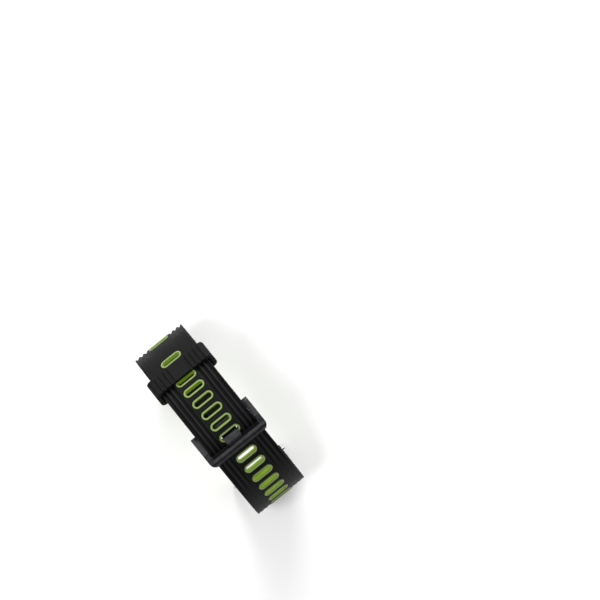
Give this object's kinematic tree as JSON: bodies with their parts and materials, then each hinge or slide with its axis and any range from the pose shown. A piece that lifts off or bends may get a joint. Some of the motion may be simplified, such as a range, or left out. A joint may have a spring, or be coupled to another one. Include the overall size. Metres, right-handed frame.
{
  "type": "wrist strap",
  "caption": "Two-part silicone wrist strap with green-lined slots, closed by a pin buckle and a ribbed keeper loop, with a spring bar at each lug end.",
  "frame": {"origin": "middle of the base, where the closed strap stands on its two lug ends", "axes": "+X runs round the wrist from the short half over the buckle to the long half, +Y across the strap, +Z out of the palm side where the buckle is"},
  "size_m": [0.067, 0.024, 0.051],
  "materials": {
    "black_silicone": "matt moulded silicone",
    "green_silicone": "matt lime-green silicone",
    "keeper_rubber": "matt ribbed silicone",
    "buckle_metal": "satin black",
    "tongue_metal": "satin dark grey",
    "bar_steel": "drawn steel",
    "spring_steel": "spring wire"
  },
  "bodies": {
    "straps": {"strap_long_half": "black_silicone", "strap_long_liner": "green_silicone", "strap_short_half": "black_silicone", "strap_short_liner": "green_silicone", "buckle_bar_tube": "bar_steel", "buckle_bar_spring": "spring_steel", "lug_bar_long_tube": "bar_steel", "lug_bar_long_spring": "spring_steel", "lug_bar_short_tube": "bar_steel", "lug_bar_short_spring": "spring_steel"},
    "keeper": {"keeper_loop": "keeper_rubber"},
    "buckle": {"buckle_frame": "buckle_metal"},
    "tongue": {"buckle_tongue": "tongue_metal"},
    "buckle_plunger_left": {"buckle_bar_plunger_left": "bar_steel"},
    "buckle_plunger_right": {"buckle_bar_plunger_right": "bar_steel"},
    "long_plunger_left": {"lug_bar_long_plunger_left": "bar_steel"},
    "long_plunger_right": {"lug_bar_long_plunger_right": "bar_steel"},
    "short_plunger_left": {"lug_bar_short_plunger_left": "bar_steel"},
    "short_plunger_right": {"lug_bar_short_plunger_right": "bar_steel"}
  },
  "joints": [
    {"name": "keeper_slide", "type": "hinge", "parent": "straps", "child": "keeper", "pos_m": [0.01014, 0, -0.00027], "axis": [0, 1, 0], "range_deg": [-6.5, 3]},
    {"name": "buckle_hinge", "type": "hinge", "parent": "straps", "child": "buckle", "pos_m": [0.00107, 0, 0.047], "axis": [0, -1, 0], "range_deg": [0, 4]},
    {"name": "tongue_hinge", "type": "hinge", "parent": "buckle", "child": "tongue", "pos_m": [0.00107, 0, 0.047], "axis": [0, -1, 0], "range_deg": [0, 4]},
    {"name": "buckle_plunger_left_push", "type": "slide", "parent": "straps", "child": "buckle_plunger_left", "axis": [0, 1, 0], "range_m": [0, 0.00095], "stiffness_N_per_m": 300, "deforming": ["buckle_bar_spring"]},
    {"name": "buckle_plunger_right_push", "type": "slide", "parent": "straps", "child": "buckle_plunger_right", "axis": [0, -1, 0], "range_m": [0, 0.00095], "stiffness_N_per_m": 300, "deforming": ["buckle_bar_spring"]},
    {"name": "long_plunger_left_push", "type": "slide", "parent": "straps", "child": "long_plunger_left", "axis": [0, 1, 0], "range_m": [0, 0.00095], "stiffness_N_per_m": 300, "deforming": ["lug_bar_long_spring"]},
    {"name": "long_plunger_right_push", "type": "slide", "parent": "straps", "child": "long_plunger_right", "axis": [0, -1, 0], "range_m": [0, 0.00095], "stiffness_N_per_m": 300, "deforming": ["lug_bar_long_spring"]},
    {"name": "short_plunger_left_push", "type": "slide", "parent": "straps", "child": "short_plunger_left", "axis": [0, 1, 0], "range_m": [0, 0.00095], "stiffness_N_per_m": 300, "deforming": ["lug_bar_short_spring"]},
    {"name": "short_plunger_right_push", "type": "slide", "parent": "straps", "child": "short_plunger_right", "axis": [0, -1, 0], "range_m": [0, 0.00095], "stiffness_N_per_m": 300, "deforming": ["lug_bar_short_spring"]}
  ]
}
